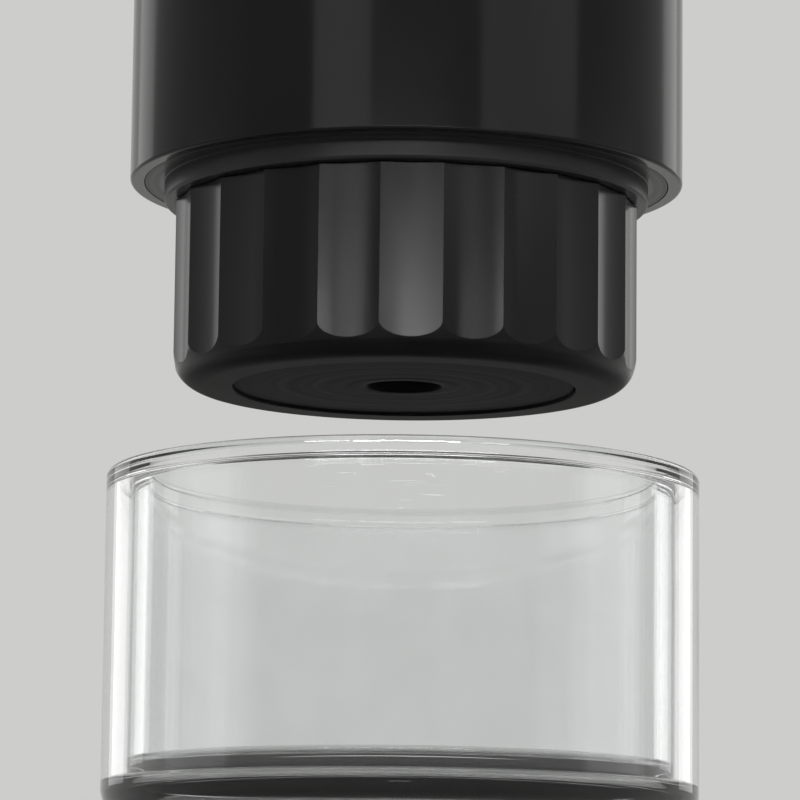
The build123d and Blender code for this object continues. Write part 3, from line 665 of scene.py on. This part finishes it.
def break_edges(mesh: Mesh, width: float, limit: float) -> None:
    """Take the sharpness off a mesh's edges, as a tool or a mould does.

    Args:
        mesh: Mesh to work on.
        width: Width of the broken edge in millimetres.
        limit: Least angle between two faces, in degrees, that counts as an edge.
    """
    sharp = [edge for edge in mesh.edges
             if len(edge.link_faces) == 2 and edge.calc_face_angle(0.0) > math.radians(limit)]
    bmesh.ops.bevel(mesh, geom=sharp, offset=width * MM, offset_type="OFFSET", segments=2,
                    profile=0.5, affect="EDGES", clamp_overlap=True, material=-1)


def settle(name: str, mesh: Mesh, body: str, slot: str, stands_for: Iterable[str] = (),
           crease: float = 32.0) -> bpy.types.Object:
    """Turn a finished mesh into a piece of the maker.

    Args:
        name: Name of the piece.
        mesh: Its mesh, in metres and in place. It is used up.
        body: Body that it moves with.
        slot: Material slot of its finish.
        stands_for: Solids that it replaces.
        crease: Angle in degrees past which an edge shows as sharp.

    Returns:
        The piece.
    """
    data = stored(name, mesh)
    data.shade_smooth()
    data.set_sharp_from_angle(angle=math.radians(crease))
    data.materials.append(FINISHES[slot].material())
    piece = placed(name, data)
    even = piece.modifiers.new("even_shading", "WEIGHTED_NORMAL")
    even.mode, even.weight, even.keep_sharp = "FACE_AREA", 60, True
    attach(piece, body)
    if stands_for:
        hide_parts(*stands_for)
    log.info("%s rides on %s in %s, %d faces", name, body, slot, len(data.polygons))
    return piece


def round_bar(radius: float, length: float, steps: int) -> Mesh:
    """Make an upright round bar about the origin.

    Args:
        radius: Radius of the bar in millimetres.
        length: Length of the bar in millimetres.
        steps: Number of faces round it.

    Returns:
        The bar's mesh.
    """
    mesh = bmesh.new()
    bmesh.ops.create_cone(mesh, cap_ends=True, segments=steps, radius1=radius * MM,
                          radius2=radius * MM, depth=length * MM)
    return mesh


def front_bar(radius: float, back: float, front: float, height: float,
              steps: int = 96) -> Mesh:
    """Make a round bar that points to the front.

    Args:
        radius: Radius of the bar in millimetres.
        back: Distance of its back end from the axis.
        front: Distance of its front end from the axis.
        height: Height of its middle.
        steps: Number of faces round it.

    Returns:
        The bar's mesh.
    """
    mesh = round_bar(radius, front - back, steps)
    turn(mesh, math.pi / 2, "X")
    shift(mesh, 0, -(front + back) / 2, height)
    return mesh


@dataclass(frozen=True)
class Thread:
    """A screw thread of several starts, as ridges that climb round the axis.

    The ridges start inside their wall, by sink, and end short of the facing wall, by gap.
    """

    wall: float
    facing: float
    bottom: float
    lead: float
    starts: int = 3
    sweep: float = 150.0
    width: float = 1.2
    sink: float = 0.4
    gap: float = 0.25
    crest_share: float = 0.45

    def mesh(self) -> Mesh:
        """Sweep one ridge along its helix and copy it for each start.

        Returns:
            The ridges' mesh.
        """
        mesh = bmesh.new()
        half = self.width / 2
        flat = self.crest_share * half
        out = math.copysign(1.0, self.wall - self.facing)
        root, crest = self.wall + out * self.sink, self.facing + out * self.gap
        corners = ((root, -half), (crest, -flat), (crest, flat), (root, half))
        verts = [mesh.verts.new((radius * MM, 0.0, (self.bottom + height) * MM))
                 for radius, height in corners]
        for start, end in zip(verts, verts[1:] + verts[:1]):
            mesh.edges.new((start, end))
        angle = math.radians(self.sweep)
        spin(mesh, angle, THREAD_STEPS, self.lead * MM * angle / math.tau / THREAD_STEPS)
        close_ends(mesh, len(verts))
        others = self.starts - 1
        spin(mesh, math.tau / self.starts * others, others, copies=True)
        return mesh


@dataclass(frozen=True)
class GripThread(Thread):
    """The thread between collar and grip, with shorter ridges and less play."""

    sweep: float = 120.0
    width: float = 1.3
    sink: float = 0.3
    gap: float = 0.12


@dataclass(frozen=True)
class Body:
    """The tube that the hand holds, with its round hole and the window for the port."""

    radius: float = 35.5
    bore: float = 33.7
    half_length: float = 85.0
    end_round: float = 0.4
    hole_radius: float = 7.7
    hole_height: float = 22.0
    hole_band: float = 10.0
    drill_reach: tuple[float, float] = (20.0, 45.0)
    window: Point = (17.0, 10.0, -45.0)
    edge_break: float = 0.08
    sharp_angle: float = 50.0

    def build(self) -> None:
        """Make the tube and cut its two openings."""
        tube = turned((
            Corner(self.bore, -self.half_length),
            Corner(self.radius, -self.half_length, self.end_round),
            Corner(self.radius, self.half_length, self.end_round),
            Corner(self.bore, self.half_length),
        ))
        width, tall, middle = self.window
        hole, band = self.hole_height, self.hole_band
        for height in (hole - band, hole + band, middle - tall, middle + tall):
            bmesh.ops.bisect_plane(tube, geom=tube.verts[:] + tube.edges[:] + tube.faces[:],
                                   plane_co=(0, 0, height * MM), plane_no=(0, 0, 1))
        tube = carved(tube, front_bar(self.hole_radius, *self.drill_reach, hole), Cut.TAKE_AWAY)
        opening = bmesh.new()
        bmesh.ops.create_cube(opening, size=1.0)
        bmesh.ops.scale(opening, vec=(width * MM, self.radius * MM, tall * MM),
                        verts=opening.verts[:])
        shift(opening, 0, self.radius, middle)
        tube = carved(tube, opening, Cut.TAKE_AWAY)
        break_edges(tube, self.edge_break, self.sharp_angle)
        settle("shell_tube", tube, "maker", "shell_black", ("body_shell",))


@dataclass(frozen=True)
class Lid:
    """The screw lid: a cap with a shallow dish, and the threads inside it and on the neck."""

    radius: float = 35.5
    bore: float = 32.9
    bottom: float = 85.3
    ceiling: float = 97.1
    top: float = 99.3
    dish_radius: float = 29.0
    dish_depth: float = 0.4
    pivot: float = 3.05
    pivot_height: float = 1.0
    neck_radius: float = 32.0
    lead: float = 9.0
    inner_rise: float = 1.4
    outer_rise: float = 2.9

    def build(self) -> None:
        """Make the cap and both threads."""
        dish, pivot = self.top - self.dish_depth, self.ceiling + self.pivot_height
        cap = turned((
            Corner(0.0, dish),
            Corner(self.dish_radius, dish, 0.6, 4),
            Corner(self.dish_radius + 1.2 * self.dish_depth, self.top, 0.4, 4),
            Corner(self.radius, self.top, 2.0, 12),
            Corner(self.radius, self.bottom, 0.4),
            Corner(self.bore, self.bottom, 0.3, 4),
            Corner(self.bore, self.ceiling, 0.5, 4),
            Corner(self.pivot, self.ceiling),
            Corner(self.pivot, pivot),
            Corner(0.0, pivot),
        ))
        settle("lid_shell", cap, "lid", "shell_black", ("lid_cap",))
        inner = Thread(self.bore, self.neck_radius, self.bottom + self.inner_rise, self.lead)
        settle("lid_thread", inner.mesh(), "lid", "shell_black")
        outer = Thread(self.neck_radius, self.bore, self.bottom + self.outer_rise, self.lead)
        settle("neck_thread", outer.mesh(), "maker", "frame_black")


@dataclass(frozen=True)
class PowerButton:
    """The round button at the front and its light ring."""

    height: float = 22.0
    radius: float = 6.0
    bore: float = 6.2
    ring_radius: float = 7.6
    back: float = 31.4
    face: float = 35.3
    ring_face: float = 35.4
    proud: float = 40.0
    cap_back: float = 31.35
    flange_radius: float = 7.0
    flange_back: float = 30.5
    stem_radius: float = 1.6
    stem_back: float = 29.9
    gap: float = 0.01
    overshoot: float = 3.0
    drum_half: float = 12.0
    cap_break: float = 0.28
    ring_break: float = 0.12
    sharp_angle: float = 40.0

    def _drum(self, radius: float) -> Mesh:
        """Make the drum whose curve the front faces follow.

        Args:
            radius: Radius of the drum in millimetres.

        Returns:
            The drum's mesh.
        """
        low, high = self.height - self.drum_half, self.height + self.drum_half
        return turned((Corner(0.0, low), Corner(radius, low), Corner(radius, high),
                       Corner(0.0, high)), DRUM_STEPS)

    def build(self) -> None:
        """Make the cap and the ring, both flush with the curve of the tube."""
        cap = merged(front_bar(self.radius, self.cap_back, self.proud, self.height),
                     front_bar(self.flange_radius, self.flange_back, self.cap_back - self.gap,
                               self.height))
        cap = merged(cap, front_bar(self.stem_radius, self.stem_back, self.flange_back - self.gap,
                                    self.height, 32))
        cap = carved(cap, self._drum(self.face), Cut.KEEP_COMMON)
        break_edges(cap, self.cap_break, self.sharp_angle)
        settle("button_cap", cap, "button", "button_black", ("power_button",))
        ring = carved(front_bar(self.ring_radius, self.back, self.proud, self.height),
                      front_bar(self.bore, self.back - self.overshoot,
                                self.proud + self.overshoot, self.height), Cut.TAKE_AWAY)
        ring = carved(ring, self._drum(self.ring_face), Cut.KEEP_COMMON)
        break_edges(ring, self.ring_break, self.sharp_angle)
        settle("light_ring_lens", ring, "maker", "light_ring", ("button_light_ring",))


@dataclass(frozen=True)
class Collar:
    """The threaded collar at the brew head, with the grey band that shows below the tube."""

    bore: float = 27.5
    band_radius: float = 31.1
    band_bottom: float = -87.6
    tube_end: float = -85.0
    seat_radius: float = 33.6
    top: float = -75.95
    chamfer: float = 0.3
    grip_neck: float = 27.0
    lead: float = 9.5
    thread_rise: float = 2.4
    screws: int = 3
    screw_radius: float = 1.25
    screw_depth: float = 3.05
    screw_circle: float = 30.3

    def build(self) -> None:
        """Make the collar, its screw holes and its inner thread."""
        ring = turned((
            Corner(self.bore, self.band_bottom, 0.2, 3),
            Corner(self.band_radius - self.chamfer, self.band_bottom, 0.12, 3),
            Corner(self.band_radius, self.band_bottom + self.chamfer, 0.12, 3),
            Corner(self.band_radius, self.tube_end, 0.1, 3),
            Corner(self.seat_radius, self.tube_end, 0.1, 3),
            Corner(self.seat_radius, self.top),
            Corner(self.bore, self.top),
        ))
        for index in range(self.screws):
            drill = round_bar(self.screw_radius, 2 * self.screw_depth, 32)
            shift(drill, self.screw_circle, 0, self.top)
            turn(drill, math.tau * index / self.screws)
            ring = carved(ring, drill, Cut.TAKE_AWAY)
        settle("collar_ring", ring, "maker", "collar_grey", ("brew_collar",))
        thread = GripThread(self.bore, self.grip_neck, self.band_bottom + self.thread_rise,
                            self.lead)
        settle("collar_thread", thread.mesh(), "maker", "collar_grey")


@dataclass(frozen=True)
class Portafilter:
    """The screw-on grip with its shallow flutes, its thread, and the disc with the outlet."""

    flutes: int = 24
    radius: float = 29.7
    flute_depth: float = 0.3
    foot_round: float = 4.1
    bottom: float = -111.4
    top: float = -87.8
    neck_radius: float = 27.0
    neck_top: float = -79.2
    bore: float = 25.4
    floor_top: float = -108.2
    rim_inner: float = 21.95
    recess: float = 0.4
    outlet_radius: float = 4.75
    disc_top: float = -105.8
    funnel_rise: float = 2.6
    collar_bore: float = 27.5
    lead: float = 9.5
    thread_rise: float = 1.0
    grooves: tuple[float, float] = (7.4, 10.3)
    groove_half: float = 0.14
    groove_depth: float = 0.04
    play: float = 0.1
    proud: float = 0.012
    overshoot: float = 2.0
    edge_break: float = 0.09
    sharp_angle: float = 13.0

    def _fluted_bar(self) -> Mesh:
        """Make a bar whose sides are the flutes: one arc from ridge to ridge, copied round.

        Returns:
            The bar's mesh.
        """
        mesh = bmesh.new()
        half_turn = math.pi / self.flutes
        half_chord = self.radius * math.sin(half_turn)
        arc_radius = (half_chord ** 2 + self.flute_depth ** 2) / (2 * self.flute_depth)
        middle = self.radius * math.cos(half_turn) - self.flute_depth + arc_radius
        centre = Vector((middle * math.cos(half_turn), middle * math.sin(half_turn), 0)) * MM
        mesh.verts.new((self.radius * MM, 0, 0))
        bmesh.ops.spin(mesh, geom=mesh.verts[:], cent=centre, axis=(0, 0, 1),
                       angle=-2 * math.asin(half_chord / arc_radius), steps=FLUTE_STEPS)
        others = self.flutes - 1
        spin(mesh, math.tau * others / self.flutes, others, copies=True)
        bmesh.ops.remove_doubles(mesh, verts=mesh.verts[:], dist=FLUTE_MERGE)
        shift(mesh, 0, 0, self.bottom - self.overshoot)
        bmesh.ops.contextual_create(mesh, geom=mesh.edges[:])
        raised = bmesh.ops.extrude_face_region(mesh, geom=mesh.faces[:])
        tops = [item for item in raised["geom"] if isinstance(item, bmesh.types.BMVert)]
        length = self.neck_top - self.bottom + 2 * self.overshoot
        bmesh.ops.translate(mesh, verts=tops, vec=(0, 0, length * MM))
        turn(mesh, half_turn)
        bmesh.ops.recalc_face_normals(mesh, faces=mesh.faces[:])
        return mesh

    def _grip(self) -> None:
        """Make the fluted grip: the turned ring kept only inside the fluted bar."""
        steps = FLUTE_STEPS * self.flutes
        ring = turned((
            Corner(self.rim_inner, self.bottom, 0.15, 3),
            Corner(self.radius + self.proud, self.bottom, self.foot_round, 14),
            Corner(self.radius + self.proud, self.top),
            Corner(self.neck_radius, self.top),
            Corner(self.neck_radius, self.neck_top, 0.3, 3),
            Corner(self.bore, self.neck_top),
            Corner(self.bore, self.floor_top),
            Corner(self.rim_inner, self.floor_top),
        ), steps)
        turn(ring, math.pi / steps)
        ring = carved(ring, self._fluted_bar(), Cut.KEEP_COMMON)
        break_edges(ring, self.edge_break, self.sharp_angle)
        settle("fluted_grip", ring, "portafilter", "grip_black", ("portafilter_grip",), 40.0)

    def build(self) -> None:
        """Make the grip, its thread and the disc below it."""
        self._grip()
        thread = GripThread(self.neck_radius, self.collar_bore, self.top + self.thread_rise,
                            self.lead)
        settle("grip_thread", thread.mesh(), "portafilter", "grip_black")
        under, half = self.bottom + self.recess, self.groove_half
        disc = turned((
            Corner(self.outlet_radius, under, 0.3, 4),
            *(Corner(radius + step, under + (0.0 if step else self.groove_depth))
              for radius in self.grooves for step in (-half, 0.0, half)),
            Corner(self.rim_inner - self.play, under, 0.2, 3),
            Corner(self.rim_inner - self.play, self.floor_top),
            Corner(self.bore - self.play, self.floor_top),
            Corner(self.bore - self.play, self.disc_top),
            Corner(self.outlet_radius, self.disc_top - self.funnel_rise),
        ))
        settle("outlet_disc", disc, "portafilter", "underside_black", ("portafilter_base",), 60.0)


@dataclass(frozen=True)
class Cup:
    """The clear double-walled cup, welded under its rim, as one wall round a sealed void."""

    radius: float = 37.7
    bore: float = 32.4
    rim: float = -122.6
    base: float = -165.9
    weld: float = -124.8
    outer_wall_bore: float = 36.1
    liner_radius: float = 34.5
    base_top: float = -163.2
    floor_low: float = -162.4
    floor_top: float = -160.4
    foot_inner: float = 29.7
    foot_recess: float = 0.8
    gate_radius: float = 1.5
    gate_height: float = 0.4
    seam_half: float = 0.12
    seam_depth: float = 0.07

    def build(self) -> None:
        """Make the wall's outside and the void's inside, and join them."""
        recess = self.base + self.foot_recess
        outside = turned((
            Corner(0.0, recess - self.gate_height),
            Corner(self.gate_radius, recess - self.gate_height, 0.2, 3),
            Corner(self.gate_radius, recess),
            Corner(self.foot_inner, recess, 0.3, 3),
            Corner(self.foot_inner + self.foot_recess, self.base, 0.3, 3),
            Corner(self.radius, self.base, 3.0, 14),
            Corner(self.radius, self.weld - self.seam_half),
            Corner(self.radius - self.seam_depth, self.weld),
            Corner(self.radius, self.weld + self.seam_half),
            Corner(self.radius, self.rim, 0.8, 8),
            Corner(self.bore, self.rim, 0.8, 8),
            Corner(self.bore, self.floor_top, 1.2, 8),
            Corner(0.0, self.floor_top),
        ), CUP_STEPS)
        void = turned((
            Corner(0.0, self.base_top),
            Corner(self.outer_wall_bore, self.base_top, 1.4, 8),
            Corner(self.outer_wall_bore, self.weld, 0.4, 4),
            Corner(self.liner_radius, self.weld, 0.4, 4),
            Corner(self.liner_radius, self.floor_low, 2.0, 8),
            Corner(0.0, self.floor_low),
        ), CUP_STEPS, hollow=True)
        settle("clear_cup", merged(outside, void), "cup", "cup_clear",
               ("cup_outer", "cup_inner"), 60.0)


@dataclass(frozen=True)
class Spring:
    """A coil spring inside the pump."""

    name: str
    stands_for: str
    joint: str
    outer: float
    wire: float
    low: float
    high: float
    turns: int
    fixed_end: float
    keep: float

    def build(self) -> None:
        """Sweep the wire's round section up its helix."""
        mesh = bmesh.new()
        half = self.wire / 2
        bmesh.ops.create_circle(mesh, cap_ends=False, segments=WIRE_SIDES, radius=half * MM)
        turn(mesh, math.pi / 2, "X")
        shift(mesh, self.outer - half, 0, self.low + half)
        steps = COIL_STEPS * self.turns
        spin(mesh, math.tau * self.turns, steps, (self.high - self.low - self.wire) * MM / steps)
        close_ends(mesh, WIRE_SIDES)
        coil = settle(self.name, mesh, "maker", "screw_steel", (self.stands_for,), 60.0)
        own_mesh(coil)


class SolidPieces:
    """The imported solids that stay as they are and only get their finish."""

    def dress(self) -> None:
        """Give each solid that is still shown the finish of its record's slot."""
        slots = {part["node"]: part["material_slot"] for part in frame["record"]["subparts"]}
        for name, node in frame["nodes"].items():
            finish = FINISHES[slots[name]]
            for held in node.material_slots:
                held.material = finish.material()
            if not node.hide_render:
                log.info("%s keeps its solid in %s", name, finish.name)


@dataclass(frozen=True)
class Softbox:
    """One soft rectangular lamp that faces the maker, placed by its direction from the front."""

    name: str
    azimuth: float
    distance: float
    height: float
    size: tuple[float, float]
    radiance: float
    aim_height: float = -0.04
    spread: float = FULL_SPREAD

    def light(self) -> None:
        """Add the lamp, with the power that gives its radiance straight ahead."""
        angle = math.radians(self.azimuth)
        place = Vector((math.sin(angle) * self.distance, -math.cos(angle) * self.distance,
                        self.height))
        lamp = bpy.data.lights.new(self.name, "AREA")
        lamp.shape = "RECTANGLE"
        lamp.size, lamp.size_y = self.size
        lamp.spread = math.radians(self.spread)
        half = lamp.spread / 2
        # A narrower lamp keeps its power, so it gets the share that keeps its brightness.
        share = 1.0 if self.spread == FULL_SPREAD else 1.0 - half / math.tan(half)
        lamp.energy = math.pi * self.size[0] * self.size[1] * self.radiance * share
        holder = placed(self.name, lamp)
        holder.location = place
        holder.rotation_mode = "QUATERNION"
        aim = Vector((0, 0, self.aim_height)) - place
        holder.rotation_quaternion = aim.to_track_quat("-Z", "Y")
        holder.visible_camera = False


@dataclass(frozen=True)
class Studio:
    """The pale floor and surround, the soft lamps and the camera."""

    floor_height: float = -0.166
    floor_half: float = 3.0
    pale: Colour = (0.61, 0.61, 0.6)
    floor_tone: Colour = (0.74, 0.74, 0.73)
    floor_drift: float = 0.015
    surround_light: float = 0.6
    fade_start: float = 0.36
    fade_end: float = 0.9
    camera_distance: float = 0.5621
    camera_height: float = -0.2005
    camera_pitch: float = 8.88
    camera_turn: float = -1.35
    camera_roll: float = 0.65
    focal_pixels: float = 4450.0
    picture_pixels: float = 800.0
    sideways: float = -0.0005

    def _floor(self) -> None:
        """Lay the pale floor, which only shows from above."""
        mesh = bmesh.new()
        bmesh.ops.create_grid(mesh, x_segments=2, y_segments=2, size=self.floor_half)
        shift(mesh, 0, 0, self.floor_height / MM)
        floor = placed("floor", stored("floor", mesh))
        board = SurfaceBoard("pale_floor", {"Roughness": 0.75, "Specular IOR Level": 0.2})
        board.join(board.toned(self.floor_tone, self.floor_drift, board.noise(60.0, 3.0)),
                   board.surface.inputs["Base Color"])
        distance = board.add("ShaderNodeVectorMath", {0: board.place}, operation="LENGTH")
        far = board.between(distance.outputs["Value"], 0.0, 1.0, self.fade_start, self.fade_end)
        haze = board.glow("ShaderNodeEmission", self.pale, 1.0)
        faded = board.chosen(board.math("MULTIPLY", far, board.seen()),
                             board.surface.outputs["BSDF"], haze)
        clear = board.add("ShaderNodeBsdfTransparent").outputs[0]
        back = board.add("ShaderNodeNewGeometry").outputs["Backfacing"]
        board.join(board.chosen(back, faded, clear), board.result)
        floor.data.materials.append(board.material)

    def _surround(self) -> None:
        """Set the pale surround, dimmer where it lights the pieces than where it is seen."""
        world = bpy.data.worlds.new("pale_surround")
        bpy.context.scene.world = world
        board = NodeBoard(world, "ShaderNodeOutputWorld")
        dim, full = (board.glow("ShaderNodeBackground", self.pale, strength)
                     for strength in (self.surround_light, 1.0))
        board.join(board.chosen(board.seen(), dim, full), board.result)

    def _lamps(self) -> None:
        """Light the flutes with low strips, the tube with tall boxes and the rest all round."""
        strip, level = 0.035, 0.0475
        # Name, direction, distance, height, size, radiance, and where set, aim and spread.
        for box in (
            Softbox("front_low_box", 0.0, 1.0, level, (0.72, strip), 38.0, -0.1, 95.0),
            Softbox("front_left_low_box", -30.0, 1.0, level, (0.3, strip), 20.0, -0.1, 95.0),
            Softbox("front_right_low_box", 30.0, 1.0, level, (0.3, strip), 10.0, -0.1, 95.0),
            Softbox("left_low_box", -85.0, 0.9, 0.0, (0.5, 0.2), 0.4, -0.12),
            Softbox("right_low_box", 88.0, 0.9, 0.0, (0.5, 0.2), 0.5, -0.12),
            Softbox("left_box", -28.0, 1.15, 0.545, (0.54, 0.85), 1.9, 0.0),
            Softbox("right_box", 50.0, 1.15, 0.545, (1.02, 0.85), 1.4, 0.0),
            Softbox("top_box", 0.0, 0.1, 1.3, (0.9, 0.9), 2.2),
            Softbox("back_left_box", -140.0, 1.15, 0.35, (0.4, 1.0), 0.8),
            Softbox("back_right_box", 140.0, 1.15, 0.35, (0.4, 1.0), 0.8),
        ):
            box.light()

    def _camera(self) -> None:
        """Stand the camera low in front, tilted up as in the photograph."""
        data = bpy.data.cameras.new("camera")
        data.lens = self.focal_pixels / self.picture_pixels * data.sensor_width
        data.clip_start, data.clip_end = 0.01, 20.0
        camera = placed("camera", data)
        place = Matrix.Translation((self.sideways, -self.camera_distance, self.camera_height))
        pan, tilt, roll = (Matrix.Rotation(math.radians(angle), 4, axis) for angle, axis in (
            (self.camera_turn, "Z"), (90 + self.camera_pitch, "X"), (self.camera_roll, "Z")))
        camera.matrix_world = pan @ place @ tilt @ roll
        bpy.context.scene.camera = camera

    def build(self) -> None:
        """Set up the whole studio."""
        bpy.context.scene.view_settings.view_transform = "Standard"
        self._camera()
        self._surround()
        self._lamps()
        self._floor()


def main() -> None:
    """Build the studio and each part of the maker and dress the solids."""
    logging.basicConfig(level=logging.INFO, format="%(name)s: %(message)s")
    Studio().build()
    parts = (
        Body(), Lid(), PowerButton(), Collar(), Portafilter(), Cup(),
        Spring("plunger_coil", "plunger_spring", "plunger_stroke", outer=4.9, wire=1.1,
               low=12.0, high=25.5, turns=6, fixed_end=25.5, keep=9.5 / 13.5),
        Spring("valve_coil", "valve_spring", "valve_open", outer=2.0, wire=0.6,
               low=-37.85, high=-31.85, turns=5, fixed_end=-37.85, keep=5.0 / 6.0),
    )
    for part in parts:
        part.build()
        log.info("%s is built", type(part).__name__)
    SolidPieces().dress()


if __name__ == "__main__":
    main()
